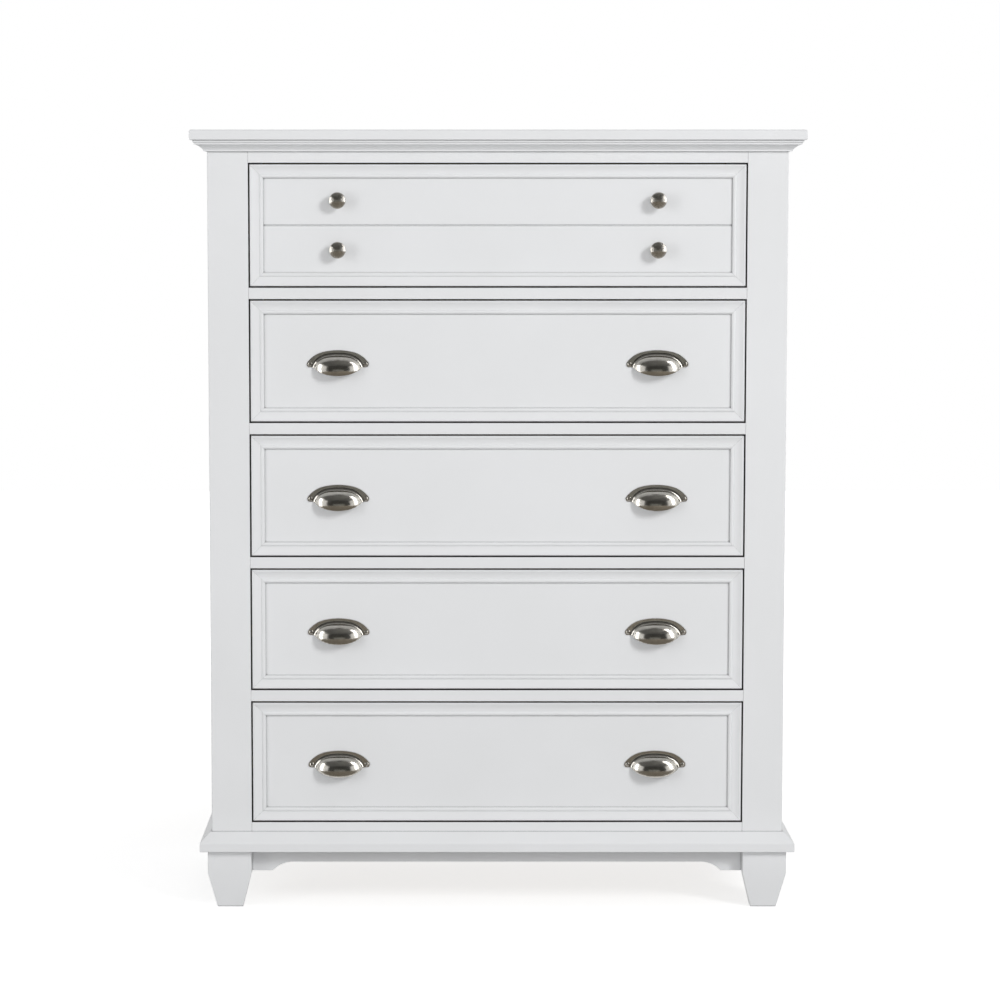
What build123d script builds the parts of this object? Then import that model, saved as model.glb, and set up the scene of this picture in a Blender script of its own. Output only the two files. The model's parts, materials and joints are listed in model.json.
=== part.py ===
from build123d import *
import os

# A tall chest: a post-and-rail case on bracket feet, with inset drawers on wooden runners.
# Millimetres. The front faces -Y, +X is to the right, Z = 0 is the floor.

# Openings, posts and rails
drawer_count = 5
opening_width = 785
opening_height = 195.5
case_depth = 406
post_width = 64
post_depth = 45
post_round = 2              # outer front edge of a post
seam_ease = 0.6             # eased edges where posts, rails and drawers meet
rail_height = 18            # between two drawers
rail_depth = 40
face_rail_depth = 22        # frieze, bottom and rear rails
sill_height = 15.2          # bottom rail above the base moulding
frieze_height = 18          # frieze rail below the crown moulding
tenon_length = 18
tenon_shoulder = 4

# Sides, back and floor of the case
side_rail_width = 20
side_rail_show = 56         # side rail between moulding and panel
side_panel_thickness = 8
side_panel_inset = 8        # panel face behind the post face
panel_groove = 8
back_thickness = 5
back_rebate = 12
floor_thickness = 6
floor_groove = 6
floor_drop = 9              # floor below the lowest opening

# Top board and crown moulding
top_thickness = 16
top_overhang = 26
top_edge_round = 3
top_under_round = 1.5
crown_height = 17.3
crown_reach = 21.4
crown_step_reach = 19.2
crown_step_height = 3.3
crown_cove_reach = 17.6
crown_cove_height = 8.2
crown_cove_sag = 1.2
crown_bead_reach = 5.5
crown_bead_height = 2.1

# Base moulding, aprons and feet
base_height = 30
base_reach = 18.5
base_face_height = 14.3
base_bevel_reach = 3        # what is left of the moulding at the top of its bevel
base_corner_round = 4
base_under_round = 1.2
foot_height = 94
foot_width = 70
foot_wall = 24
foot_proud = 6.5            # foot face in front of the case
foot_taper = 14.5           # each side, at the floor
foot_taper_height = 57
apron_thickness = 18
apron_height = 23           # at mid span
apron_lobe = 33             # flat of the lobe beside a foot
apron_run = 32              # length of the curve up from the lobe

# Drawer fronts
front_gap = 2.4
front_board = 14
frame_lip = 6.5             # lip of the frame above the panel
frame_lip_width = 2.5
frame_cove_width = 12.3
frame_cove_rest = 2.9       # foot of the cove above the panel
frame_bead_width = 6.2
frame_bead_height = 5
frame_ease = 1              # outer edge of the lip
mitre_gap = 0.1             # hairline at the frame's mitres
divide_width = 4            # groove across the top drawer's panel
divide_depth = 2.5

# Drawer boxes and runners
box_clearance = 3           # drawer side to opening
box_end_gap = 8.5           # drawer box short of the rear rails
side_thickness = 12
side_height = 160
side_lift = 12              # side above the bottom of the opening
tail_length = 8
tail_neck = 6
tail_flare = 9
drawer_back_thickness = 12
drawer_back_inset = 8
drawer_back_drop = 6
housing = 4
bottom_thickness = 5
bottom_lift = 8
runner_height = 20
runner_bite = 5.5           # runner inside the drawer side
runner_play = 0.3
runner_side_play = 0.5
runner_setback = 6.5        # runner behind the drawer front
runner_tail = 6             # runner short of the back panel

# Cup pulls
pull_spacing = 505
pull_drop = 5               # screw line below the drawer's middle
flange_height = 22          # crest of the flange above the screw line
flange_crest = 24           # half width of its shallow middle arc
flange_sag = 2.9            # drop of that arc at its ends
flange_thickness = 1.8
flange_rim = 3              # flat edge of the flange, outside the flare
flare_height = 5            # slope between flange and dome
flare_lean = 52             # degrees that it leans inwards
flare_gap = 0.8             # flare clear of the screw heads
dome_sweep = 46             # round of the dome, seen from above
dome_radius = 22.5          # round of the dome, seen from the side
dome_turn = 120             # degrees of that round, from the top down and under
dome_drop = 9               # most forward line of the dome below the screw line
dome_reach = 24
dome_wall = 1.6
dome_steps = 8              # straight steps that stand for the round of the dome
hollow_steps = 3
mouth_drop = 4.5            # mouth below the screw line, at the drawer face
mouth_slope = 14.2          # further drop of the mouth at the dome's full reach
ear_radius = 5
ear_turn = 35               # degrees round the ear where the flange's edge meets it
ear_spacing = 87.6

# Knobs
knob_spacing = 504
knob_inset = 8.8            # knobs nearer the groove than the middles of the front's halves
knob_radius = 13
knob_reach = 24
knob_cap = 5.5              # crown of the head
knob_rim = 4.5
knob_under = 4.5            # slope under the head
knob_neck_radius = 5.2
knob_foot_radius = 7.5

# Screws of the pulls and knobs
screw_radius = 1.7
screw_play = 0.2
screw_length = 12
screw_head_radius = 3.6
screw_head_height = 2.2
screw_sides = 8             # flats that stand for the round of a screw
knob_screw_grip = 8

# Places worked out from the sizes above
case_width = opening_width + 2 * post_width
top_width = case_width + 2 * top_overhang
top_depth = case_depth + top_overhang
opening_side = opening_width / 2
case_side = case_width / 2
case_back = top_depth / 2
case_front = case_back - case_depth
front_post_back = case_front + post_depth
rear_post_front = case_back - post_depth
back_face = case_back - back_thickness

case_bottom = foot_height
base_top = case_bottom + base_height
first_opening = base_top + sill_height
opening_pitch = opening_height + rail_height
openings_top = first_opening + drawer_count * opening_pitch - rail_height
crown_bottom = openings_top + frieze_height
case_top = crown_bottom + crown_height

panel_bottom = base_top + side_rail_show
panel_top = crown_bottom - side_rail_show
side_rail_face = case_side - side_rail_width
panel_outer = case_side - side_panel_inset
panel_inner = panel_outer - side_panel_thickness
floor_top = first_opening - floor_drop

foot_outer = case_side + foot_proud
foot_front = case_front - foot_proud
foot_inner = foot_outer - foot_width
apron_front = foot_front + foot_wall
apron_back = apron_front + apron_thickness
apron_side = foot_outer - foot_wall

front_width = opening_width - 2 * front_gap
front_height = opening_height - 2 * front_gap
panel_face = case_front + frame_lip
board_back = panel_face + front_board
box_side = opening_side - box_clearance
box_inner = box_side - side_thickness
box_end = back_face - face_rail_depth - box_end_gap
drawer_back_end = box_end - drawer_back_inset
drawer_back_front = drawer_back_end - drawer_back_thickness
runner_front = board_back + runner_setback
runner_end = back_face - runner_tail
runner_inner = box_side - runner_bite
frame_width = frame_lip_width + frame_cove_width + frame_bead_width
knob_rise = front_height / 4 - knob_inset

up = Vector(0, 0, 1)
front = Vector(0, -1, 0)
right = Vector(1, 0, 0)


def board(x_low, x_high, y_low, y_high, z_low, z_high, mode=Mode.ADD):
    # A straight board between these limits
    with BuildSketch(Plane.XY.offset(z_low)) as plan:
        with Locations(((x_low + x_high) / 2, (y_low + y_high) / 2)):
            Rectangle(x_high - x_low, y_high - y_low)
    extrude(plan.sketch, amount=z_high - z_low, mode=mode)


def cross_rail(y_low, y_high, z_low, z_high):
    # A rail from post to post, with a tenon at each end
    board(-opening_side, opening_side, y_low, y_high, z_low, z_high)
    reach = opening_side + tenon_length
    board(-reach, reach, y_low + tenon_shoulder, y_high - tenon_shoulder,
          z_low + tenon_shoulder, z_high - tenon_shoulder)


def ease_front():
    # Eased edges round the front faces of the rails being built
    chamfer(faces().group_by(Axis.Y)[0].edges(), seam_ease)


def moulding_plane(start, outward):
    # Section of a moulding: x points away from the case, y points up
    return Plane(origin=start, x_dir=outward, z_dir=outward.cross(up))


def mitre(side):
    # Plane through a front corner of the case, facing back and outward
    return Plane(origin=(side * case_side, case_front, 0), z_dir=(side, 1, 0))


def front_run(section, height, reach):
    with BuildSketch(moulding_plane((case_side + reach, case_front, height), front)) as profile:
        add(section.sketch)
    extrude(profile.sketch, amount=case_width + 2 * reach)
    split(bisect_by=mitre(1), keep=Keep.BOTTOM)
    split(bisect_by=mitre(-1), keep=Keep.BOTTOM)


def side_runs(section, height, reach):
    with BuildSketch(moulding_plane((case_side, case_back, height), right)) as profile:
        add(section.sketch)
    extrude(profile.sketch, amount=case_depth + reach)
    split(bisect_by=mitre(1), keep=Keep.TOP)
    mirror(about=Plane.YZ)


def apron_outline(foot_gap, end):
    # An apron hung from the underside of the case, with lobes down to where the feet taper
    arch = case_bottom - apron_height
    lobe_start = foot_gap - apron_lobe
    curve_start = lobe_start - apron_run
    with BuildSketch() as outline:
        with BuildLine():
            TangentArc((curve_start, arch), (lobe_start, foot_taper_height), tangent=(1, 0))
            Polyline((lobe_start, foot_taper_height), (end, foot_taper_height), (end, case_bottom),
                     (0, case_bottom), (0, arch), (curve_start, arch))
        make_face()
        mirror(about=Plane.YZ)
    return outline.sketch


def opening_low(number):
    # Bottom of an opening, counted from the top drawer
    return first_opening + (drawer_count - number) * opening_pitch


def runner_low(number):
    return opening_low(number) + side_lift + (side_height - runner_height) / 2


def frame_strip(corner, along, inward, length):
    # One strip of a drawer's frame, mitred at both ends
    start = corner + along * (mitre_gap / 2)
    end = corner + along * (length - mitre_gap / 2)
    with BuildPart() as strip:
        with BuildSketch(Plane(origin=corner, x_dir=inward, z_dir=along)):
            add(frame_section.sketch)
        extrude(amount=length)
        split(bisect_by=Plane(origin=start, z_dir=along - inward))
        split(bisect_by=Plane(origin=end, z_dir=-along - inward))
    return strip.part


def tail(z_low, z_high, mode=Mode.ADD):
    # Dovetail between the right drawer side and the front board
    middle = box_side - side_thickness / 2
    tip = board_back - tail_length
    with BuildSketch(Plane.XY.offset(z_low)) as plan:
        with BuildLine():
            Polyline((middle - tail_neck / 2, board_back), (middle + tail_neck / 2, board_back),
                     (middle + tail_flare / 2, tip), (middle - tail_flare / 2, tip), close=True)
        make_face()
    extrude(plan.sketch, amount=z_high - z_low, mode=mode)


def screw_places(number):
    # Screw centres on a drawer's panel, across and up from the middle of the front
    if number == 1:
        return [(side * knob_spacing / 2, step * knob_rise) for side in (-1, 1) for step in (-1, 1)]
    return [(side * pull_spacing / 2 + end * ear_spacing / 2, -pull_drop)
            for side in (-1, 1) for end in (-1, 1)]


def write_piece(builder, node):
    builder.part.label = node
    export_step(builder.part, f"parts/{node}.step")


os.makedirs("parts", exist_ok=True)

# Sections of the mouldings
with BuildSketch() as crown_section:
    cove_top = crown_bead_height + crown_cove_height
    step_top = cove_top + crown_step_height
    with BuildLine():
        Polyline((crown_bead_reach, crown_bead_height), (crown_bead_reach, 0), (0, 0), (0, crown_height),
                 (crown_reach, crown_height), (crown_reach, step_top), (crown_step_reach, step_top),
                 (crown_step_reach, cove_top), (crown_cove_reach, cove_top))
        SagittaArc((crown_cove_reach, cove_top), (crown_bead_reach, crown_bead_height), -crown_cove_sag)
    make_face()

with BuildSketch() as base_section:
    with BuildLine():
        Polyline((0, 0), (base_reach, 0), (base_reach, base_face_height),
                 (base_bevel_reach, base_height), (0, base_height), close=True)
    make_face()
    fillet(vertices().group_by(Axis.X)[-1].sort_by(Axis.Y)[-1], base_corner_round)
    fillet(vertices().group_by(Axis.X)[-1].sort_by(Axis.Y)[0], base_under_round)

with BuildSketch() as frame_section:
    cove_end = frame_lip_width + frame_cove_width
    with BuildLine():
        ThreePointArc((frame_width, frame_cove_rest), (cove_end + frame_bead_width / 2, frame_bead_height),
                      (cove_end, frame_cove_rest))
        TangentArc((cove_end, frame_cove_rest), (frame_lip_width, frame_lip), tangent=(-1, 0))
        Polyline((frame_lip_width, frame_lip), (frame_ease, frame_lip), (0, frame_lip - frame_ease),
                 (0, 0), (frame_width, 0), (frame_width, frame_cove_rest))
    make_face()

# Rails across the front and back
with BuildPart() as frieze_rail:
    cross_rail(case_front, case_front + face_rail_depth, openings_top, case_top)
    ease_front()
write_piece(frieze_rail, "frieze_rail")

with BuildPart() as drawer_rails:
    for step in range(1, drawer_count):
        rail_top = first_opening + step * opening_pitch
        cross_rail(case_front, case_front + rail_depth, rail_top - rail_height, rail_top)
    ease_front()
write_piece(drawer_rails, "drawer_rails")

# Floor of the case, let into the rails on all four sides
with BuildPart() as case_floor:
    floor_low = floor_top - floor_thickness
    board(-opening_side, opening_side, case_front + face_rail_depth - floor_groove,
          back_face - face_rail_depth + floor_groove, floor_low, floor_top)
    floor_side = side_rail_face + floor_groove
    board(-floor_side, floor_side, front_post_back, rear_post_front, floor_low, floor_top)
write_piece(case_floor, "case_floor")

with BuildPart() as bottom_rail:
    cross_rail(case_front, case_front + face_rail_depth, case_bottom, first_opening)
    ease_front()
    add(case_floor.part, mode=Mode.SUBTRACT)
write_piece(bottom_rail, "bottom_rail")

with BuildPart() as rear_rails:
    cross_rail(back_face - face_rail_depth, back_face, openings_top, case_top)
    cross_rail(back_face - face_rail_depth, back_face, case_bottom, first_opening)
    add(case_floor.part, mode=Mode.SUBTRACT)
write_piece(rear_rails, "rear_rails")

# Sides of the case
with BuildPart() as right_side_panel:
    board(panel_inner, panel_outer, front_post_back - panel_groove, rear_post_front + panel_groove,
          panel_bottom - panel_groove, panel_top + panel_groove)
write_piece(right_side_panel, "right_side_panel")

with BuildPart() as left_side_panel:
    mirror(right_side_panel.part, about=Plane.YZ)
write_piece(left_side_panel, "left_side_panel")

with BuildPart() as side_rails:
    for rail_low, rail_high in ((case_bottom, panel_bottom), (panel_top, case_top)):
        board(side_rail_face, case_side, front_post_back, rear_post_front, rail_low, rail_high)
        board(side_rail_face + tenon_shoulder, case_side - tenon_shoulder,
              front_post_back - tenon_length, rear_post_front + tenon_length,
              rail_low + tenon_shoulder, rail_high - tenon_shoulder)
    add(right_side_panel.part, mode=Mode.SUBTRACT)
    add(case_floor.part, mode=Mode.SUBTRACT)
    mirror(about=Plane.YZ)
write_piece(side_rails, "side_rails")

with BuildPart() as back_panel:
    back_side = opening_side + back_rebate
    board(-back_side, back_side, back_face, case_back, case_bottom, case_top)
write_piece(back_panel, "back_panel")

# Corner posts, mortised and grooved by what they hold
with BuildPart() as front_right_post:
    board(opening_side, case_side, case_front, front_post_back, case_bottom, case_top)
    front_edges = edges().filter_by(Axis.Z).group_by(Axis.Y)[0].sort_by(Axis.X)
    fillet(front_edges[-1], post_round)
    front_edges = edges().filter_by(Axis.Z).group_by(Axis.Y)[0].sort_by(Axis.X)
    chamfer(front_edges[0], seam_ease)
    for held in (frieze_rail, drawer_rails, bottom_rail, side_rails, right_side_panel):
        add(held.part, mode=Mode.SUBTRACT)
write_piece(front_right_post, "front_right_post")

with BuildPart() as rear_right_post:
    board(opening_side, case_side, rear_post_front, case_back, case_bottom, case_top)
    for held in (rear_rails, side_rails, right_side_panel, back_panel):
        add(held.part, mode=Mode.SUBTRACT)
write_piece(rear_right_post, "rear_right_post")

with BuildPart() as front_left_post:
    mirror(front_right_post.part, about=Plane.YZ)
write_piece(front_left_post, "front_left_post")

with BuildPart() as rear_left_post:
    mirror(rear_right_post.part, about=Plane.YZ)
write_piece(rear_left_post, "rear_left_post")

# Top board and the mouldings round the case
with BuildPart() as top_board:
    board(-top_width / 2, top_width / 2, -top_depth / 2, top_depth / 2, case_top, case_top + top_thickness)
    fillet(faces().sort_by(Axis.Z)[-1].edges().sort_by(Axis.Y)[:-1], top_edge_round)
    fillet(faces().sort_by(Axis.Z)[0].edges().sort_by(Axis.Y)[:-1], top_under_round)
write_piece(top_board, "top_board")

with BuildPart() as crown_moulding_front:
    front_run(crown_section, crown_bottom, crown_reach)
write_piece(crown_moulding_front, "crown_moulding_front")

with BuildPart() as crown_moulding_sides:
    side_runs(crown_section, crown_bottom, crown_reach)
write_piece(crown_moulding_sides, "crown_moulding_sides")

with BuildPart() as base_moulding_front:
    front_run(base_section, case_bottom, base_reach)
write_piece(base_moulding_front, "base_moulding_front")

with BuildPart() as base_moulding_sides:
    side_runs(base_section, case_bottom, base_reach)
write_piece(base_moulding_sides, "base_moulding_sides")

# Aprons and bracket feet under the case
with BuildPart() as front_apron:
    with BuildSketch(Plane.XZ.offset(-apron_back)):
        add(apron_outline(foot_inner, apron_side))
    extrude(amount=apron_thickness)
write_piece(front_apron, "front_apron")

with BuildPart() as side_aprons:
    feet_middle = (foot_front + case_back) / 2
    gap_between_feet = case_back - foot_front - 2 * foot_width
    apron_end = case_back - foot_wall - feet_middle
    inner_face = (apron_side - apron_thickness, feet_middle, 0)
    with BuildSketch(Plane(origin=inner_face, x_dir=(0, 1, 0), z_dir=(1, 0, 0))):
        add(apron_outline(gap_between_feet / 2, apron_end))
    extrude(amount=apron_thickness)
    add(front_apron.part, mode=Mode.SUBTRACT)
    mirror(about=Plane.YZ)
write_piece(side_aprons, "side_aprons")

with BuildPart() as foot_block:
    foot_back = foot_front + foot_width
    board(foot_inner, foot_outer, foot_front, foot_back, 0, foot_taper_height)
    knee = Vector((foot_inner + foot_outer) / 2, (foot_front + foot_back) / 2, foot_taper_height)
    for outward in (right, -right, front, -front):
        slope = outward * foot_taper_height - up * foot_taper
        split(bisect_by=Plane(origin=knee + outward * (foot_width / 2), z_dir=slope), keep=Keep.BOTTOM)
    board(foot_inner, foot_outer, foot_front, foot_back, foot_taper_height, foot_height)

# The same block, moved in by the wall, hollows the foot behind its two faces
with BuildPart() as front_right_foot:
    add(foot_block.part)
    with Locations((-foot_wall, foot_wall, 0)):
        add(foot_block.part, mode=Mode.SUBTRACT)
write_piece(front_right_foot, "front_right_foot")

with BuildPart() as front_left_foot:
    mirror(front_right_foot.part, about=Plane.YZ)
write_piece(front_left_foot, "front_left_foot")

with BuildPart() as rear_right_foot:
    mirror(front_right_foot.part, about=Plane.XZ.offset(-feet_middle))
write_piece(rear_right_foot, "rear_right_foot")

with BuildPart() as rear_left_foot:
    mirror(rear_right_foot.part, about=Plane.YZ)
write_piece(rear_left_foot, "rear_left_foot")

# Wooden runners, fixed to the inner faces of the posts
with BuildPart() as drawer_runners:
    for number in range(1, drawer_count + 1):
        low = runner_low(number)
        board(runner_inner, opening_side, runner_front, runner_end, low, low + runner_height)
    mirror(about=Plane.YZ)
write_piece(drawer_runners, "drawer_runners")

def turned_dome(radius, count, mode=Mode.ADD):
    # The dome's side view, in straight steps, turned about an upright axis behind the drawer face
    dome_arc = CenterArc((dome_radius - dome_reach, -dome_drop), radius, start_angle=90, arc_size=dome_turn)
    turning_line = dome_sweep - dome_reach
    with BuildSketch(Plane.YZ) as side_view:
        with BuildLine():
            Polyline(*[dome_arc @ (step / count) for step in range(count + 1)],
                     (turning_line, (dome_arc @ 1).Y), (turning_line, (dome_arc @ 0).Y), close=True)
        make_face()
    revolve(side_view.sketch, axis=Axis((0, turning_line, 0), up), mode=mode)


# Cup pull: a dome that flares into a bow-shaped flange, cut open below, with a screw ear at each end.
# Its back lies on the XZ plane and the screw line on the X axis.
with BuildPart() as cup_pull:
    ear = ear_spacing / 2
    lip_drop = mouth_drop + mouth_slope
    turned_dome(dome_radius, dome_steps)
    split(bisect_by=Plane.XZ)
    with BuildSketch(Plane.XZ):
        with BuildLine():
            crest = TangentArc((0, flange_height), (flange_crest, flange_height - flange_sag),
                               tangent=(1, 0))
            ear_end = CenterArc((ear, 0), ear_radius, start_angle=0, arc_size=ear_turn)
            TangentArc(crest @ 1, ear_end @ 1, tangent=crest % 1)
            Polyline(ear_end @ 0, (ear + ear_radius, -lip_drop), (0, -lip_drop), crest @ 0)
        make_face()
        mirror(about=Plane.YZ)
    extrude(amount=flange_thickness)
    with BuildSketch(Plane.XZ.offset(flange_thickness)):
        flare_side = ear - screw_head_radius - flare_gap
        flare_top = flange_height - flange_rim
        with BuildLine():
            crest = TangentArc((0, flare_top), (flange_crest - flange_rim, flare_top - flange_sag),
                               tangent=(1, 0))
            TangentArc(crest @ 1, (flare_side, -lip_drop), tangent=crest % 1)
            Polyline((flare_side, -lip_drop), (0, -lip_drop), crest @ 0)
        make_face()
        mirror(about=Plane.YZ)
    extrude(amount=flare_height, taper=flare_lean)
    turned_dome(dome_radius - dome_wall, hollow_steps, mode=Mode.SUBTRACT)
    split(bisect_by=Plane(origin=(0, 0, -mouth_drop), z_dir=(0, -mouth_slope, dome_reach)))
    with BuildSketch(Plane.XZ):
        with Locations((ear, 0)):
            Rectangle(ear_radius, lip_drop, align=(Align.MIN, Align.MAX))
            Circle(ear_radius, mode=Mode.SUBTRACT)
        mirror(about=Plane.YZ)
    extrude(amount=dome_reach, mode=Mode.SUBTRACT)
    with BuildSketch(Plane.XZ):
        with Locations((-ear, 0), (ear, 0)):
            Circle(ear_radius)
    extrude(amount=flange_thickness)
    with BuildSketch(Plane.XZ):
        with Locations((-ear, 0), (ear, 0)):
            RegularPolygon(screw_radius + screw_play, screw_sides)
    extrude(amount=dome_reach, mode=Mode.SUBTRACT)

# Knob: a turned mushroom on a flared neck, standing on the XZ plane
with BuildPart() as knob:
    rim_front = knob_reach - knob_cap
    rim_back = rim_front - knob_rim
    with BuildSketch(Plane.XY):
        with BuildLine():
            TangentArc((0, -knob_reach), (knob_radius, -rim_front), tangent=(1, 0))
            Polyline((knob_radius, -rim_front), (knob_radius, -rim_back),
                     (knob_neck_radius, knob_under - rim_back), (knob_foot_radius, 0),
                     (0, 0), (0, -knob_reach))
        make_face()
    revolve(axis=Axis.Y)
    with BuildSketch(Plane.XZ):
        RegularPolygon(screw_radius + screw_play, screw_sides)
    extrude(amount=knob_screw_grip + screw_play, mode=Mode.SUBTRACT)

# Screw of a pull: the head's underside lies on the XZ plane, the head faces the front
with BuildPart() as pull_screw:
    with BuildSketch(Plane.XZ):
        RegularPolygon(screw_head_radius, screw_sides)
    extrude(amount=screw_head_height)
    with BuildSketch(Plane.XZ):
        RegularPolygon(screw_radius, screw_sides)
    extrude(amount=-screw_length)

# Screw of a knob, which comes from inside the drawer
with BuildPart() as knob_screw:
    with BuildSketch(Plane.XZ):
        RegularPolygon(screw_head_radius, screw_sides)
    extrude(amount=-screw_head_height)
    with BuildSketch(Plane.XZ):
        RegularPolygon(screw_radius, screw_sides)
    extrude(amount=front_board + knob_screw_grip)

# Drawers, numbered from the top
for number in range(1, drawer_count + 1):
    low = opening_low(number)
    front_low = low + front_gap
    front_middle = low + opening_height / 2
    side_low = low + side_lift
    side_top = side_low + side_height
    panel_plane = Plane(origin=(0, panel_face, front_middle), x_dir=right, z_dir=front)

    with BuildPart() as drawer_bottom:
        bottom_side = box_inner + housing
        board(-bottom_side, bottom_side, board_back - housing, drawer_back_front + housing,
              side_low + bottom_lift, side_low + bottom_lift + bottom_thickness)
    write_piece(drawer_bottom, f"drawer_{number}_bottom")

    with BuildPart() as drawer_back:
        board(-box_inner - housing, box_inner + housing, drawer_back_front, drawer_back_end,
              side_low, side_top - drawer_back_drop)
        add(drawer_bottom.part, mode=Mode.SUBTRACT)
    write_piece(drawer_back, f"drawer_{number}_back")

    with BuildPart() as drawer_sides:
        board(box_inner, box_side, board_back, box_end, side_low, side_top)
        tail(side_low, side_top)
        add(drawer_bottom.part, mode=Mode.SUBTRACT)
        add(drawer_back.part, mode=Mode.SUBTRACT)
        groove_low = runner_low(number) - runner_play
        groove_high = runner_low(number) + runner_height + runner_play
        board(runner_inner - runner_side_play, box_side, runner_front - runner_play, box_end,
              groove_low, groove_high, mode=Mode.SUBTRACT)
        mirror(about=Plane.YZ)
    write_piece(drawer_sides, f"drawer_{number}_sides")

    with BuildPart() as drawer_front:
        board(-front_width / 2, front_width / 2, panel_face, board_back,
              front_low, front_low + front_height)
        tail(front_low, side_top, mode=Mode.SUBTRACT)
        mirror(about=Plane.YZ, mode=Mode.INTERSECT)
        add(drawer_bottom.part, mode=Mode.SUBTRACT)
        with BuildSketch(panel_plane):
            with Locations(*screw_places(number)):
                RegularPolygon(screw_radius + screw_play, screw_sides)
        hole_depth = front_board if number == 1 else screw_length - flange_thickness + screw_play
        extrude(amount=-hole_depth, mode=Mode.SUBTRACT)
        if number == 1:
            with BuildSketch(Plane.YZ):
                with BuildLine():
                    Polyline((panel_face, front_middle - divide_width / 2),
                             (panel_face, front_middle + divide_width / 2),
                             (panel_face + divide_depth, front_middle), close=True)
                make_face()
            extrude(amount=front_width / 2 - frame_width, both=True, mode=Mode.SUBTRACT)
    write_piece(drawer_front, f"drawer_{number}_front")

    left_low = Vector(-front_width / 2, panel_face, front_low)
    right_low = left_low + right * front_width
    left_high = left_low + up * front_height
    right_high = right_low + up * front_height
    strips = [frame_strip(left_low, right, up, front_width),
              frame_strip(right_low, up, -right, front_height),
              frame_strip(right_high, -right, -up, front_width),
              frame_strip(left_high, -up, right, front_height)]
    with BuildPart() as drawer_frame:
        add(strips)
    write_piece(drawer_frame, f"drawer_{number}_frame")

    with BuildPart() as drawer_handles:
        if number == 1:
            with Locations(*[(x, panel_face, front_middle + rise) for x, rise in screw_places(number)]):
                add(knob.part)
        else:
            pull_height = front_middle - pull_drop
            with Locations(*[(side * pull_spacing / 2, panel_face, pull_height) for side in (-1, 1)]):
                add(cup_pull.part)
    write_piece(drawer_handles, "drawer_1_knobs" if number == 1 else f"drawer_{number}_pulls")

    with BuildPart() as drawer_screws:
        head_seat = board_back if number == 1 else panel_face - flange_thickness
        with Locations(*[(x, head_seat, front_middle + rise) for x, rise in screw_places(number)]):
            add(knob_screw.part if number == 1 else pull_screw.part)
    write_piece(drawer_screws, f"drawer_{number}_screws")
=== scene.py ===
import json
import math
import bpy
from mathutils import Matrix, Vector


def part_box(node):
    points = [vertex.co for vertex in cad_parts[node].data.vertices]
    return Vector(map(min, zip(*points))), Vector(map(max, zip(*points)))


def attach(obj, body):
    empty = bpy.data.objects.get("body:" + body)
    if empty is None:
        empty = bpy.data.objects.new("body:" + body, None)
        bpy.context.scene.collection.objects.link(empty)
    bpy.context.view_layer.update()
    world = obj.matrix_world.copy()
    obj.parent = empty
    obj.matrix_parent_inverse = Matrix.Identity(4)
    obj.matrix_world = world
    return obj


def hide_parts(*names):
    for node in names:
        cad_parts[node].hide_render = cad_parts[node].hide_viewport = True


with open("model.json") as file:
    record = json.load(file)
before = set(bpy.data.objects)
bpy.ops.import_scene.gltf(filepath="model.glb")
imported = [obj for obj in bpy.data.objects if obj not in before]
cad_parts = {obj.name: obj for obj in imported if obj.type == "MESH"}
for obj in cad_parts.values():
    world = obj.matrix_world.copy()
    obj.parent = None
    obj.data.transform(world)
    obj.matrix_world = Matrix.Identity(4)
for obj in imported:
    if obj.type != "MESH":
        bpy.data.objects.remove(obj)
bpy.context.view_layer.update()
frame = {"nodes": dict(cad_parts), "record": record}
record = frame["record"]
bodyOf = {}
for body, members in record["behaviour"]["bodies"].items():
    for node in members:
        bodyOf[node] = body
slotOf = {entry["node"]: entry["material_slot"] for entry in record["subparts"]}
print("frame loaded:", len(bodyOf), "nodes")

# a pattern is finer across the grain than along it
grainStretch = {"x": (1, 16, 16), "y": (16, 1, 16), "z": (16, 16, 1)}
evenStretch = (1, 1, 1)
wholeRange = (0, 1)
noiseMiddle = (0.3, 0.7)
white = (1, 1, 1, 1)
black = (0, 0, 0, 1)


def startMaterial(name):
    material = bpy.data.materials.new(name)
    material.use_nodes = True
    return material, material.node_tree, material.node_tree.nodes["Principled BSDF"]


def dress(tree, shader, tone, rough, normal):
    tree.links.new(tone, shader.inputs["Base Color"])
    tree.links.new(rough, shader.inputs["Roughness"])
    tree.links.new(normal, shader.inputs["Normal"])


def stretchedNoise(tree, stretch, scale, detail, roughness=0.5):
    # noise on Object coordinates, stretched along the grain
    coords = tree.nodes.new("ShaderNodeTexCoord")
    mapping = tree.nodes.new("ShaderNodeMapping")
    mapping.inputs["Scale"].default_value = stretch
    noise = tree.nodes.new("ShaderNodeTexNoise")
    noise.inputs["Scale"].default_value = scale
    noise.inputs["Detail"].default_value = detail
    noise.inputs["Roughness"].default_value = roughness
    tree.links.new(coords.outputs["Object"], mapping.inputs["Vector"])
    tree.links.new(mapping.outputs["Vector"], noise.inputs["Vector"])
    return noise.outputs["Fac"]


def rampTo(tree, factor, stops):
    ramp = tree.nodes.new("ShaderNodeValToRGB")
    while len(ramp.color_ramp.elements) < len(stops):
        ramp.color_ramp.elements.new(0.5)  # its place comes below
    for element, (place, colour) in zip(ramp.color_ramp.elements, stops):
        element.position = place
        element.color = (*colour, 1)
    tree.links.new(factor, ramp.inputs["Fac"])
    return ramp.outputs["Color"]


def mapRange(tree, value, before, after):
    change = tree.nodes.new("ShaderNodeMapRange")
    for side, limits in (("From", before), ("To", after)):
        change.inputs[side + " Min"].default_value = limits[0]
        change.inputs[side + " Max"].default_value = limits[1]
    tree.links.new(value, change.inputs["Value"])
    return change.outputs["Result"]


def spread(tree, noise, limits):
    # noise sits near 0.5, so its middle is spread over the wanted range
    return mapRange(tree, noise, noiseMiddle, limits)


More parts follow.
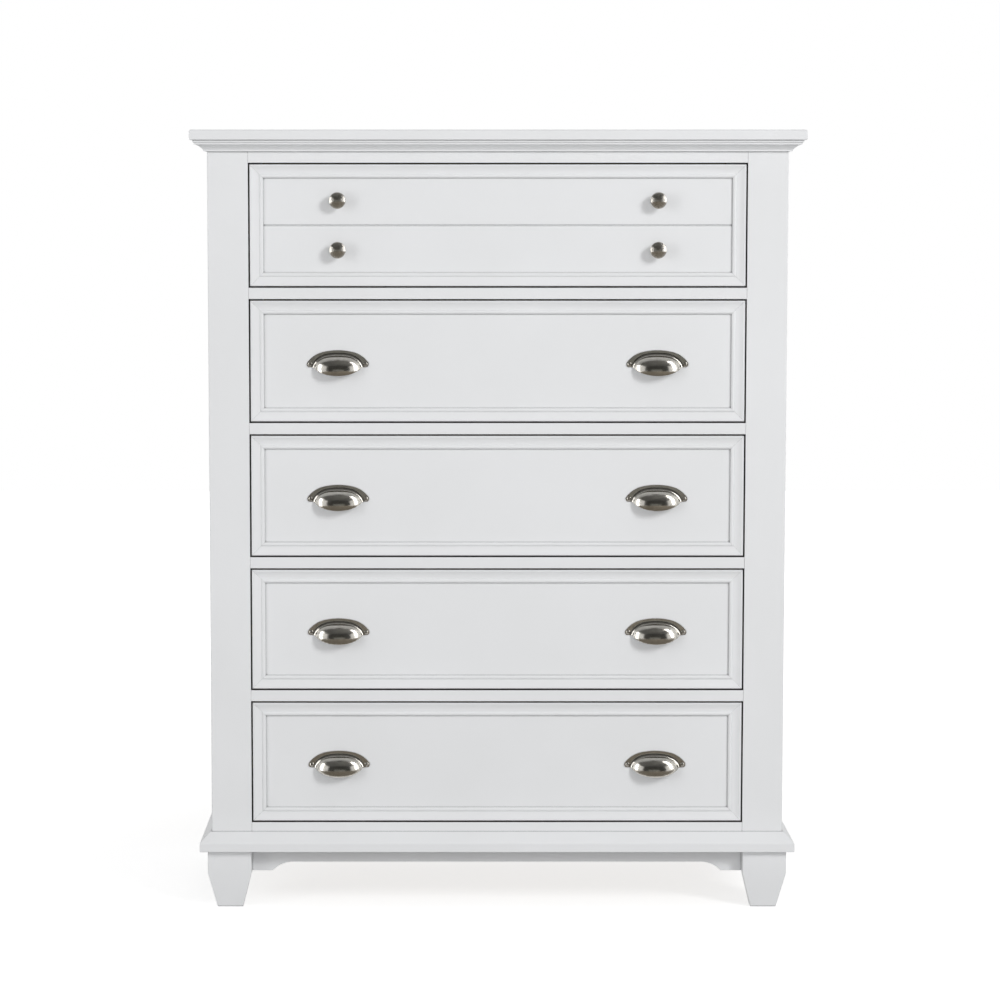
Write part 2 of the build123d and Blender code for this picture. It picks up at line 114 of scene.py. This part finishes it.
def bumpFrom(tree, height, depth, strength, under=None):
    bump = tree.nodes.new("ShaderNodeBump")
    bump.inputs["Distance"].default_value = depth
    bump.inputs["Strength"].default_value = strength
    tree.links.new(height, bump.inputs["Height"])
    if under:
        tree.links.new(under, bump.inputs["Normal"])
    return bump.outputs["Normal"]


def bothValues(tree, operation, first, second):
    node = tree.nodes.new("ShaderNodeMath")
    node.operation = operation
    tree.links.new(first, node.inputs[0])
    tree.links.new(second, node.inputs[1])
    return node.outputs["Value"]


paint = {
    "tones": ((0.35, (0.820, 0.828, 0.838)), (0.65, (0.838, 0.846, 0.858))),
    "rough": (0.36, 0.46),
    "clouds": {"scale": 5, "detail": 3},
    "grain": {"scale": 18, "detail": 5, "roughness": 0.6},
    "grainBump": {"depth": 0.00006, "strength": 0.35},
    "peel": {"scale": 900, "detail": 2},
    "peelBump": {"depth": 0.00003, "strength": 0.3},
    "creaseReach": 0.004,
    "creaseSamples": 8,
    "creaseOpen": (0.3, 0.8),
    "creaseShadeTone": 0.4,
}


def paintedCreaseShade(tree, tone):
    # painted shade: an ambient occlusion node darkens the paint's colour in the inner corners of
    # the mouldings and other creases, where shade falls
    hollow = tree.nodes.new("ShaderNodeAmbientOcclusion")
    hollow.samples = paint["creaseSamples"]
    hollow.inputs["Distance"].default_value = paint["creaseReach"]
    level = mapRange(tree, hollow.outputs["AO"], paint["creaseOpen"], (paint["creaseShadeTone"], 1))
    dim = tree.nodes.new("ShaderNodeVectorMath")
    dim.operation = "SCALE"
    tree.links.new(tone, dim.inputs[0])
    tree.links.new(level, dim.inputs["Scale"])
    return dim.outputs["Vector"]


def paintMaterial(along):
    material, tree, shader = startMaterial("satinPaint_" + along)
    clouds = stretchedNoise(tree, evenStretch, **paint["clouds"])
    grain = stretchedNoise(tree, grainStretch[along], **paint["grain"])
    peel = stretchedNoise(tree, evenStretch, **paint["peel"])
    # the paint's colour carries painted crease shade
    tone = paintedCreaseShade(tree, rampTo(tree, clouds, paint["tones"]))
    ridges = bumpFrom(tree, grain, **paint["grainBump"])
    skin = bumpFrom(tree, peel, **paint["peelBump"], under=ridges)
    dress(tree, shader, tone, spread(tree, clouds, paint["rough"]), skin)
    return material


wood = {
    "lacquered": (
        (0.3, (0.42, 0.27, 0.14)),
        (0.5, (0.58, 0.41, 0.24)),
        (0.68, (0.68, 0.52, 0.33)),
    ),
    # painted shade: near-black wood tones for the faces inside the openings
    "inside": (
        (0.3, (0.030, 0.021, 0.015)),
        (0.5, (0.045, 0.032, 0.022)),
        (0.68, (0.062, 0.044, 0.030)),
    ),
    "rough": (0.42, 0.58),
    "bands": {"scale": 5, "detail": 6, "roughness": 0.6},
    "pores": {"scale": 60, "detail": 3, "roughness": 0.7},
    "poreBump": {"depth": 0.0001, "strength": 0.4},
    "fleckTones": ((0.35, (0.55, 0.45, 0.35)), (0.55, (1, 1, 1))),
    "fleckShare": 0.35,
}


def woodMaterial(finishAndShade, along):
    material, tree, shader = startMaterial(finishAndShade + "Wood_" + along)
    bands = stretchedNoise(tree, grainStretch[along], **wood["bands"])
    pores = stretchedNoise(tree, grainStretch[along], **wood["pores"])
    flecks = tree.nodes.new("ShaderNodeMix")
    flecks.data_type = "RGBA"
    flecks.blend_type = "MULTIPLY"
    flecks.inputs["Factor"].default_value = wood["fleckShare"]
    tree.links.new(rampTo(tree, bands, wood[finishAndShade]), flecks.inputs["A"])
    tree.links.new(rampTo(tree, pores, wood["fleckTones"]), flecks.inputs["B"])
    dress(tree, shader, flecks.outputs["Result"], spread(tree, pores, wood["rough"]),
          bumpFrom(tree, pores, **wood["poreBump"]))
    return material


plywood = {
    "tones": ((0.0, (0.50, 0.36, 0.21)), (0.35, (0.64, 0.49, 0.31)), (1.0, (0.73, 0.59, 0.40))),
    "rough": (0.5, 0.7),
    "sweep": {"scale": 1.6, "detail": 4, "roughness": 0.55},
    "lineStep": 0.05,
    "fibres": {"scale": 70, "detail": 3, "roughness": 0.7},
    "fibreBump": {"depth": 0.0001, "strength": 0.35},
}


def plywoodMaterial(along):
    # a slow noise folded into lines, like the sweeping figure of a peeled log
    material, tree, shader = startMaterial("rotaryPly_" + along)
    sweep = stretchedNoise(tree, grainStretch[along], **plywood["sweep"])
    waves = tree.nodes.new("ShaderNodeMath")
    waves.operation = "PINGPONG"
    waves.inputs[1].default_value = plywood["lineStep"]
    tree.links.new(sweep, waves.inputs[0])
    lines = mapRange(tree, waves.outputs["Value"], (0, plywood["lineStep"]), wholeRange)
    fibres = stretchedNoise(tree, grainStretch[along], **plywood["fibres"])
    dress(tree, shader, rampTo(tree, lines, plywood["tones"]),
          spread(tree, fibres, plywood["rough"]), bumpFrom(tree, fibres, **plywood["fibreBump"]))
    return material


nickel = {
    "tones": ((0.3, (0.47, 0.45, 0.41)), (0.7, (0.55, 0.53, 0.49))),
    "rough": (0.15, 0.22),
    "turnedRough": (0.23, 0.3),
    "blotches": {"scale": 160, "detail": 3},
    "lines": {"scale": 240, "detail": 2},
    "lineStretch": (1, 20, 20),
    "lineBump": {"depth": 0.00001, "strength": 0.1},
    "ringSpread": 0.9,
    "ringTurn": 0.25,
}


def nickelMaterial(name, rough):
    material, tree, shader = startMaterial(name)
    blotches = stretchedNoise(tree, evenStretch, **nickel["blotches"])
    lines = stretchedNoise(tree, nickel["lineStretch"], **nickel["lines"])
    dress(tree, shader, rampTo(tree, blotches, nickel["tones"]), spread(tree, lines, rough),
          bumpFrom(tree, lines, **nickel["lineBump"]))
    shader.inputs["Metallic"].default_value = 1
    return material


def turnedMaterial():
    # the lathe's fine rings spread the highlight across them
    material = nickelMaterial("turnedNickel", nickel["turnedRough"])
    tree = material.node_tree
    shader = tree.nodes["Principled BSDF"]
    rings = tree.nodes.new("ShaderNodeTangent")
    rings.direction_type = "RADIAL"
    rings.axis = "Y"
    tree.links.new(rings.outputs["Tangent"], shader.inputs["Tangent"])
    shader.inputs["Anisotropic"].default_value = nickel["ringSpread"]
    shader.inputs["Anisotropic Rotation"].default_value = nickel["ringTurn"]
    return material


screwSteel = {
    "tones": ((0.35, (0.34, 0.32, 0.29)), (0.65, (0.55, 0.53, 0.49))),
    "rough": (0.24, 0.4),
    "stains": {"scale": 420, "detail": 4},
    "stainBump": {"depth": 0.00003, "strength": 0.2},
}


def screwMaterial():
    material, tree, shader = startMaterial("platedScrew")
    stains = stretchedNoise(tree, evenStretch, **screwSteel["stains"])
    dress(tree, shader, rampTo(tree, stains, screwSteel["tones"]),
          spread(tree, stains, screwSteel["rough"]),
          bumpFrom(tree, stains, **screwSteel["stainBump"]))
    shader.inputs["Metallic"].default_value = 1
    return material


finishes = {}
for along in grainStretch:
    finishes["white_paint", along] = paintMaterial(along)
    finishes["bare_wood", along] = woodMaterial("lacquered", along)
    finishes["inside", along] = woodMaterial("inside", along)
    finishes["plywood", along] = plywoodMaterial(along)
nickelFinish = nickelMaterial("satinNickel", nickel["rough"])
turnedFinish = turnedMaterial()
screwFinish = screwMaterial()
print("finishes made:", len(bpy.data.materials))

weldReach = 0.00001
roundSegments = 2


def onlyActive(piece):
    bpy.ops.object.select_all(action="DESELECT")
    piece.select_set(True)
    bpy.context.view_layer.objects.active = piece


def editAll():
    bpy.ops.object.mode_set(mode="EDIT")
    bpy.ops.mesh.select_all(action="SELECT")


def roundEdges(piece, width, corner):
    ease = piece.modifiers.new("ease", "BEVEL")
    ease.width = width
    ease.segments = roundSegments
    ease.limit_method = "ANGLE"
    ease.angle_limit = corner
    bpy.ops.object.modifier_apply(modifier=ease.name)


def giveFinish(piece, finish):
    piece.data.materials.clear()
    piece.data.materials.append(finish)


def settle(piece, body, node):
    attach(piece, body)
    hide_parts(node)


easing = {
    "flat": math.radians(0.3),
    "corner": math.radians(28),
    "smooth": math.radians(50),
    "faceWeight": 90,
    "plain": 0.0004,
    "width": {"foot": 0.0012, "apron": 0.001, "sides": 0.0012, "back": 0.0008, "runners": 0.001},
}
grainAlong = {"post": "z", "panel": "z", "sides": "y", "runners": "y", "side_": "y", "foot": "z"}


def longWay(node):
    for word, along in grainAlong.items():
        if word in node:
            return along
    return "x"


def evenShade(piece):
    # wide faces keep their flat normals beside small rounds
    weighted = piece.modifiers.new("weighted", "WEIGHTED_NORMAL")
    weighted.weight = easing["faceWeight"]
    weighted.keep_sharp = True
    bpy.ops.object.modifier_apply(modifier=weighted.name)


reveal = {
    "nodes": ("front_left_post", "front_right_post", "frieze_rail", "drawer_rails", "bottom_rail"),
    "behind": 0.001,
    "beside": 0.0005,
    "facing": 0.3,
}
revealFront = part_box("front_right_post")[0].y
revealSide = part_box("front_right_post")[0].x


def paintRevealShade(piece, along):
    # painted shade: the faces inside the openings get a near-black wood tone, far darker than bare
    # wood, so the gaps round the drawers read as deep shadow
    piece.data.materials.append(finishes["inside", along])
    front, side = revealFront + reveal["behind"], revealSide + reveal["beside"]
    for face in piece.data.polygons:
        behind = face.center.y > front and face.normal.y > -reveal["facing"]
        if behind and abs(face.center.x) < side:
            face.material_index = 1


frontEdge = {"margin": 0.0002, "facing": 0.3}


def bareEdgesAndGapShade(piece, along):
    # the paint of a drawer front stops at its face; its bare wood edges are also there to darken
    # the gaps round the drawer, as painted shade
    low, high = Vector(piece.bound_box[0]), Vector(piece.bound_box[6])
    piece.data.materials.append(finishes["bare_wood", along])
    for face in piece.data.polygons:
        gaps = (*(face.center - low).xz, *(high - face.center).xz)
        if min(gaps) < frontEdge["margin"] and abs(face.normal.y) < frontEdge["facing"]:
            face.material_index = 1


def easedCopy(node):
    # the triangles welded into whole faces, with eased edges
    along = longWay(node)
    piece = bpy.data.objects.new(node + "_eased", frame["nodes"][node].data.copy())
    bpy.context.scene.collection.objects.link(piece)
    giveFinish(piece, finishes[slotOf[node], along])
    onlyActive(piece)
    editAll()
    bpy.ops.mesh.remove_doubles(threshold=weldReach)
    bpy.ops.mesh.dissolve_limited(angle_limit=easing["flat"])
    bpy.ops.object.mode_set(mode="OBJECT")
    widths = [size for word, size in easing["width"].items() if word in node]
    roundEdges(piece, widths[0] if widths else easing["plain"], easing["corner"])
    bpy.ops.object.shade_smooth_by_angle(angle=easing["smooth"])
    evenShade(piece)
    # painted shade: near-black faces inside the openings
    if node in reveal["nodes"]:
        paintRevealShade(piece, along)
    # bare wood edges, partly painted shade that darkens the gaps
    if node.startswith("drawer_") and node.endswith("_front"):
        bareEdgesAndGapShade(piece, along)
    settle(piece, bodyOf[node], node)


for node in sorted(bodyOf):
    if slotOf[node] in ("white_paint", "bare_wood", "plywood"):
        easedCopy(node)
print("joinery eased")

crown = 90  # degrees, where an arc is highest
startDot = 0.001


def arcPoints(centre, radius, start, end, steps):
    # points (across, out) on an arc in the plane of a section, angles in degrees
    marks = []
    for step in range(steps + 1):
        angle = math.radians(start + (end - start) * step / steps)
        marks.append((centre[0] + radius * math.cos(angle), centre[1] + radius * math.sin(angle)))
    return marks


def archBend(half, rise):
    # radius of an arch and the angle of its half width
    radius = (half ** 2 + rise ** 2) / (2 * rise)
    return radius, math.asin(half / radius)


def turnSection(section, steps):
    # a chain of edges drawn on from a dot, turned round the Y axis and closed
    points = [Vector((across, -out, 0)) for across, out in section]
    bpy.ops.object.select_all(action="DESELECT")
    bpy.ops.mesh.primitive_plane_add(size=startDot, location=points[0])
    piece = bpy.context.object
    editAll()
    bpy.ops.mesh.merge(type="CENTER")
    for here, there in zip(points, points[1:]):
        bpy.ops.mesh.extrude_vertices_move(TRANSFORM_OT_translate={"value": there - here})
    bpy.ops.object.mode_set(mode="OBJECT")
    bpy.ops.object.transform_apply(location=True, rotation=True, scale=True)
    # spin leaves its faces in a new order each run, this modifier doesn't
    lathe = piece.modifiers.new("lathe", "SCREW")
    lathe.axis = "Y"
    lathe.steps = lathe.render_steps = steps
    lathe.use_merge_vertices = True
    lathe.merge_threshold = weldReach
    bpy.ops.object.modifier_apply(modifier=lathe.name)
    editAll()
    bpy.ops.mesh.remove_doubles(threshold=weldReach)
    if section[-1][0] > 0:  # a foot off the axis is still open
        bpy.ops.mesh.select_all(action="DESELECT")
        bpy.ops.mesh.select_non_manifold()
        bpy.ops.mesh.edge_face_add()
        bpy.ops.mesh.select_all(action="SELECT")
    bpy.ops.mesh.normals_make_consistent(inside=False)
    bpy.ops.object.mode_set(mode="OBJECT")
    return piece


cup = {
    "flangeHeight": 0.022,
    "flangeCrest": 0.024,
    "flangeSag": 0.0029,
    "flangeThickness": 0.0018,
    "earRadius": 0.005,
    "earSpacing": 0.0876,
    "earStart": 35,
    "earEnd": -100,
    "earShare": 0.2,
    "sweep": 0.046,
    "domeRadius": 0.0225,
    "domeDrop": 0.009,
    "reach": 0.024,
    "cove": 0.0058,
    "coveEnd": -3,
    "domeEnd": -48,
    "mouthDrop": 0.0043,
    "mouthSlope": 0.65,
    "edgeShare": 0.12,
    "rimRound": 0.0005,
    "rimCorner": math.radians(50),
    "smooth": math.radians(40),
    "seam": 0.00002,
    "columns": 40,
    "coveRows": 8,
    "domeRows": 16,
}


def flangeEdge():
    # right half of the bow from its crest, on past the tip and round the ear to its foot
    crest, lean = archBend(cup["flangeCrest"], cup["flangeSag"])
    earCount = round(cup["columns"] * cup["earShare"])
    crestCount = (cup["columns"] - earCount) // 2
    sideCount = cup["columns"] - earCount - crestCount
    tip = arcPoints((cup["earSpacing"] / 2, 0), cup["earRadius"],
                    cup["earStart"], cup["earEnd"], earCount)
    crestEnd = crown - math.degrees(lean)
    bow = arcPoints((0, cup["flangeHeight"] - crest), crest, crown, crestEnd, crestCount)
    # the side leaves the crest without a kink and bends down to the ear
    start = Vector(bow[-1])
    chord = Vector(tip[0]) - start
    turn = math.atan2(-chord.y, chord.x) - lean
    bend = chord.length / (2 * math.sin(turn))
    centre = start - bend * Vector((math.sin(lean), math.cos(lean)))
    side = arcPoints(centre, bend, crestEnd, crown - math.degrees(lean + 2 * turn), sideCount)
    return bow + side[1:] + tip[1:]


def cupColumn(share, edge):
    # one line of points from the flange's edge over rim, cove and dome,
    # at a share of the half width
    ring = cup["sweep"] - cup["domeRadius"]
    axis = cup["sweep"] - cup["reach"]
    ball = cup["domeRadius"] + cup["cove"]
    ballOut = cup["flangeThickness"] + cup["cove"]
    top = math.acos((axis + ballOut - ring) / ball)
    rise = top + (math.radians(cup["coveEnd"]) - top) * share ** 2
    around = math.acos(min(1, (axis + ballOut) / (ring + ball * math.cos(rise))))

    def onDome(swing, tilt, radius):
        reach = ring + radius * math.cos(tilt)
        return Vector((reach * math.sin(swing), axis - reach * math.cos(swing),
                       radius * math.sin(tilt) - cup["domeDrop"]))

    centre = onDome(around, rise, ball)
    towardFlange = Vector((0, 1, 0))
    towardDome = (onDome(around, rise, cup["domeRadius"]) - centre).normalized()
    foot = centre + cup["cove"] * towardFlange
    rim = Vector((edge[0], -cup["flangeThickness"], edge[1]))
    points = [rim, rim.lerp(foot, cup["edgeShare"]), foot]
    for row in range(1, cup["coveRows"] + 1):
        toward = towardFlange.slerp(towardDome, row / cup["coveRows"])
        points.append(centre + cup["cove"] * toward)
    widest = math.acos((axis + ballOut) / (ring + ball)) * share
    low = math.radians(cup["domeEnd"])
    for row in range(1, cup["domeRows"] + 1):
        part = row / cup["domeRows"]
        swing = around + (widest - around) * part
        tilt = rise + (low - rise) * part
        points.append(onDome(swing, tilt, cup["domeRadius"]))
    return points


def makeCup():
    columns = [cupColumn(count / cup["columns"], edge) for count, edge in enumerate(flangeEdge())]
    bpy.ops.object.select_all(action="DESELECT")
    bpy.ops.mesh.primitive_grid_add(x_subdivisions=len(columns[0]) - 1,
                                    y_subdivisions=cup["columns"], size=1)
    piece = bpy.context.object
    places = [point for column in columns for point in column]
    for vertex, place in zip(piece.data.vertices, places):
        vertex.co = place
    other = piece.modifiers.new("otherHalf", "MIRROR")
    other.merge_threshold = cup["seam"]
    bpy.ops.object.modifier_apply(modifier=other.name)
    editAll()
    bpy.ops.mesh.remove_doubles(threshold=weldReach)
    bpy.ops.mesh.normals_make_consistent(inside=False)
    # the mouth runs from the feet of the ears down to the lip
    bpy.ops.mesh.bisect(plane_co=(0, -cup["flangeThickness"], -cup["mouthDrop"]),
                        plane_no=(0, -cup["mouthSlope"], 1), clear_inner=True)
    bpy.ops.object.mode_set(mode="OBJECT")
    # an open shell can come out either way round, so its front decides
    front = min(piece.data.polygons, key=lambda face: face.center.y)
    if front.normal.y > 0:
        editAll()
        bpy.ops.mesh.flip_normals()
        bpy.ops.object.mode_set(mode="OBJECT")
    wall = piece.modifiers.new("wall", "SOLIDIFY")
    wall.thickness = cup["flangeThickness"]
    wall.offset = -1  # inwards
    bpy.ops.object.modifier_apply(modifier=wall.name)
    roundEdges(piece, cup["rimRound"], cup["rimCorner"])
    bpy.ops.object.shade_smooth_by_angle(angle=cup["smooth"])
    giveFinish(piece, nickelFinish)
    return piece


knob = {
    "radius": 0.013,
    "reach": 0.024,
    "cap": 0.0055,
    "capShare": 0.93,
    "rim": 0.0045,
    "rimStart": 60,
    "rimEnd": -70,
    "arcSteps": 8,
    "under": 0.0045,
    "neck": 0.0052,
    "neckEase": 0.0012,
    "flare": 0.0003,
    "flareOut": 0.005,
    "foot": 0.0075,
    "footEase": 0.0006,
    "footOut": 0.0009,
    "smooth": math.radians(35),
    "steps": 48,
}


def makeKnob():
    front = knob["reach"] - knob["cap"]
    back = front - knob["rim"]
    throat = back - knob["under"]
    rimHalf = knob["rim"] / 2
    # the cap's arc has its centre on the axis
    bow, lean = archBend(knob["radius"], knob["cap"])
    capEnd = crown - math.degrees(lean) * knob["capShare"]
    section = arcPoints((0, knob["reach"] - bow), bow, crown, capEnd, knob["arcSteps"])
    section += arcPoints((knob["radius"] - rimHalf, (front + back) / 2), rimHalf,
                         knob["rimStart"], knob["rimEnd"], knob["arcSteps"])
    section += [
        (knob["neck"] + knob["neckEase"], throat + knob["neckEase"]),
        (knob["neck"], throat),
        (knob["neck"] + knob["flare"], knob["flareOut"]),
        (knob["foot"] - knob["footEase"], knob["footOut"]),
        (knob["foot"], 0),
    ]
    piece = turnSection(section, knob["steps"])
    bpy.ops.object.shade_smooth_by_angle(angle=knob["smooth"])
    giveFinish(piece, turnedFinish)
    return piece


screw = {
    "headRadius": 0.0036,
    "headHeight": 0.0022,
    "headSteps": 6,
    "radius": 0.0016,
    "tipLength": 0.002,
    "tipShare": 0.4,
    "slotWidth": 0.0009,
    "slotLength": 0.0042,
    "slotDepth": 0.0012,
    "slotTurns": (math.pi / 4, -math.pi / 4),
    "pullLength": 0.0118,
    "knobLength": 0.0218,
    "smooth": math.radians(35),
    "steps": 32,
}


def cutAway(piece, tool):
    onlyActive(piece)
    cut = piece.modifiers.new("cut", "BOOLEAN")
    cut.operation = "DIFFERENCE"
    cut.object = tool
    cut.solver = "EXACT"
    bpy.ops.object.modifier_apply(modifier=cut.name)
    bpy.data.objects.remove(tool)


def makeScrew(length):
    # round head out along -Y, seat on the XZ plane, shank along +Y
    bow, lean = archBend(screw["headRadius"], screw["headHeight"])
    section = arcPoints((0, screw["headHeight"] - bow), bow,
                        crown, crown - math.degrees(lean), screw["headSteps"])
    section += [
        (screw["radius"], 0),
        (screw["radius"], screw["tipLength"] - length),
        (screw["radius"] * screw["tipShare"], -length),
        (0, -length),
    ]
    piece = turnSection(section, screw["steps"])
    for turn in screw["slotTurns"]:
        bpy.ops.object.select_all(action="DESELECT")
        bpy.ops.mesh.primitive_cube_add(size=1, location=(0, -screw["headHeight"], 0),
                                        rotation=(0, turn, 0))
        cutter = bpy.context.object
        cutter.scale = (screw["slotLength"], 2 * screw["slotDepth"], screw["slotWidth"])
        bpy.ops.object.transform_apply(location=True, rotation=True, scale=True)
        cutAway(piece, cutter)
    onlyActive(piece)
    bpy.ops.object.shade_smooth_by_angle(angle=screw["smooth"])
    giveFinish(piece, screwFinish)
    return piece


cupMaster = makeCup()
knobMaster = makeKnob()
pullScrewMaster = makeScrew(screw["pullLength"])
knobScrewMaster = makeScrew(screw["knobLength"])
print("hardware modelled")


def placedCopy(master, name, offset, turn=0):
    # own mesh, with its place in the mesh
    piece = bpy.data.objects.new(name, master.data.copy())
    bpy.context.scene.collection.objects.link(piece)
    onlyActive(piece)
    editAll()
    if turn:
        bpy.ops.transform.rotate(value=turn, orient_axis="Z", center_override=(0, 0, 0))
    bpy.ops.transform.translate(value=offset)
    bpy.ops.object.mode_set(mode="OBJECT")
    return piece


def sideOf(x):
    return "left" if x < 0 else "right"


def fitKnobs(body):
    # each knob is held by a screw from inside the drawer
    handles, screws = body + "_knobs", body + "_screws"
    low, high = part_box(handles)
    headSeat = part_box(screws)[1].y - screw["headHeight"]
    rows = {"Low": low.z + knob["radius"], "High": high.z - knob["radius"]}
    for x in (low.x + knob["radius"], high.x - knob["radius"]):
        for row, z in rows.items():
            place = sideOf(x) + row
            handle = placedCopy(knobMaster, "%s_knob_%s" % (body, place), (x, high.y, z))
            settle(handle, body, handles)
            inner = placedCopy(knobScrewMaster, "%s_screw_%s" % (body, place),
                               (x, headSeat, z), math.pi)
            settle(inner, body, screws)


def fitPulls(body):
    # each pull has a screw through either ear
    handles, screws = body + "_pulls", body + "_screws"
    low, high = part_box(handles)
    ear = cup["earSpacing"] / 2
    reach = ear + cup["earRadius"]
    line = high.z - cup["flangeHeight"]
    headSeat = high.y - cup["flangeThickness"]
    for x in (low.x + reach, high.x - reach):
        handle = placedCopy(cupMaster, "%s_pull_%s" % (body, sideOf(x)), (x, high.y, line))
        settle(handle, body, handles)
        for end in (-1, 1):
            place = sideOf(x) + ("Inner" if end * x < 0 else "Outer")
            outer = placedCopy(pullScrewMaster, "%s_screw_%s" % (body, place),
                               (x + end * ear, headSeat, line))
            settle(outer, body, screws)


fitKnobs("drawer_1")
for number in range(2, 6):
    fitPulls("drawer_%d" % number)
for master in (cupMaster, knobMaster, pullScrewMaster, knobScrewMaster):
    bpy.data.objects.remove(master)
print("hardware fitted")


def backgroundRay(tree):
    # rays from the camera, from gloss and through glass all see the plain background
    path = tree.nodes.new("ShaderNodeLightPath")
    seen = bothValues(tree, "MAXIMUM", path.outputs["Is Camera Ray"], path.outputs["Is Glossy Ray"])
    return bothValues(tree, "MAXIMUM", seen, path.outputs["Is Transmission Ray"])


backdrop = {"tone": white, "ambient": 0.35, "seen": 1}
world = bpy.data.worlds.new("studioWorld")
bpy.context.scene.world = world
world.use_nodes = True
sky = world.node_tree.nodes["Background"]
sky.inputs["Color"].default_value = backdrop["tone"]
level = mapRange(world.node_tree, backgroundRay(world.node_tree), wholeRange,
                 (backdrop["ambient"], backdrop["seen"]))
world.node_tree.links.new(level, sky.inputs["Strength"])


def newSheet(name, finish, size=1, place=(0, 0, 0), turn=0):
    bpy.ops.object.select_all(action="DESELECT")
    bpy.ops.mesh.primitive_plane_add(size=size, location=place, rotation=(turn, 0, 0))
    sheet = bpy.context.object
    sheet.name = name
    sheet.data.materials.append(finish)
    return sheet


ground = {
    "size": 14,
    "tone": (0.52, 0.52, 0.52),
    "rough": 0.9,
    "glow": 0.75,
    "glowReach": (0.7, 2.2),
}
floorFinish, floorTree, floorShader = startMaterial("paleFloor")
floorShader.inputs["Base Color"].default_value = (*ground["tone"], 1)
floorShader.inputs["Roughness"].default_value = ground["rough"]
floorShader.inputs["Emission Color"].default_value = white
# white away from the chest, and near it only as bright as its shadow lets it be
floorCoords = floorTree.nodes.new("ShaderNodeTexCoord")
away = floorTree.nodes.new("ShaderNodeVectorMath")
away.operation = "LENGTH"
floorTree.links.new(floorCoords.outputs["Object"], away.inputs[0])
glow = mapRange(floorTree, away.outputs["Value"], ground["glowReach"], (ground["glow"], 1))
floorTree.links.new(bothValues(floorTree, "MULTIPLY", glow, backgroundRay(floorTree)),
                    floorShader.inputs["Emission Strength"])
floor = newSheet("floor", floorFinish, ground["size"])


def onlyReflected(sheet):
    sheet.visible_camera = False
    sheet.visible_diffuse = False
    sheet.visible_transmission = False
    sheet.visible_shadow = False


# painted reflections: cards that only the metal sees, standing in for a dim room, paler low down
# behind the camera
standing = math.pi / 2
cards = {
    "frontCard": {"size": (14, 7), "place": (0, -6.4, 3.5), "turn": standing,
                  "tone": (0.15, 0.15, 0.14)},
    "lowCard": {"size": (5, 1.5), "place": (0, -6.3, 0.75), "turn": standing,
                "tone": (0.6, 0.6, 0.56)},
    "ceilingCard": {"size": (14, 8), "place": (0, -2.6, 5.5), "turn": 0,
                    "tone": (0.32, 0.32, 0.31)},
    "groundCard": {"size": (9, 5.8), "place": (0, -3.3, 0.002), "turn": 0,
                   "tone": (0.30, 0.265, 0.215)},
}
for name, card in cards.items():
    cardFinish, _, cardShader = startMaterial(name)
    cardShader.inputs["Base Color"].default_value = (*card["tone"], 1)
    cardShader.inputs["Roughness"].default_value = 1
    sheet = newSheet(name, cardFinish, place=card["place"], turn=card["turn"])
    sheet.scale = (*card["size"], 1)
    onlyReflected(sheet)

# painted highlights: tall glowing strips at both sides that light nothing and show only in
# reflections, which the pulls show as upright streaks
strips = {
    "leftStrip": {"bottom": (-3.35, -1.05, 0.0), "top": (-2.7, -0.4, 2.4),
                  "width": 0.5, "strength": 7},
    "rightStrip": {"bottom": (3.35, -1.15, 0.6), "top": (2.2, -0.25, 4.4),
                   "width": 0.65, "strength": 7},
}
for name, strip in strips.items():
    stripFinish, _, stripShader = startMaterial(name)
    stripShader.inputs["Base Color"].default_value = black
    stripShader.inputs["Emission Color"].default_value = white
    stripShader.inputs["Emission Strength"].default_value = strip["strength"]
    sheet = newSheet(name, stripFinish)
    bottom, top = Vector(strip["bottom"]), Vector(strip["top"])
    across = Vector((-bottom.y, bottom.x, 0)).normalized() * strip["width"] / 2
    corners = (bottom - across, bottom + across, top - across, top + across)
    for vertex, corner in zip(sheet.data.vertices, corners):
        vertex.co = corner
    onlyReflected(sheet)

lamps = {
    "keyLight": {"place": (3.3, -4.15, 3.0), "size": (1.3, 1.6), "power": 134},
    "fillLight": {"place": (-3.0, -2.6, 1.3), "size": (1.4, 2.2), "power": 30},
    "frontLight": {"place": (0.4, -4.6, 0.6), "size": (2.2, 1.6), "power": 32},
}
lampAim = Vector((0, 0, 0.62))
for name, softbox in lamps.items():
    lamp = bpy.data.lights.new(name, "AREA")
    lamp.shape = "RECTANGLE"
    lamp.size, lamp.size_y = softbox["size"]
    lamp.energy = softbox["power"]
    holder = bpy.data.objects.new(name, lamp)
    bpy.context.scene.collection.objects.link(holder)
    holder.visible_glossy = False
    holder.location = softbox["place"]
    facing = lampAim - Vector(softbox["place"])
    holder.rotation_euler = facing.to_track_quat("-Z", "Y").to_euler()

camera = {
    "place": (-0.0752, -5.046, 1.1245),
    "tilt": math.radians(84.506),
    "lens": 110.8,
    "sensor": 36,
    "shift": 0.05,
}
eye = bpy.data.cameras.new("photoCamera")
eye.lens = camera["lens"]
eye.sensor_width = camera["sensor"]
eye.shift_x = camera["shift"]
eyeHolder = bpy.data.objects.new("photoCamera", eye)
bpy.context.scene.collection.objects.link(eyeHolder)
eyeHolder.location = camera["place"]
eyeHolder.rotation_euler = (camera["tilt"], 0, 0)
bpy.context.scene.camera = eyeHolder
bpy.context.scene.view_settings.view_transform = "Standard"
print("studio set")
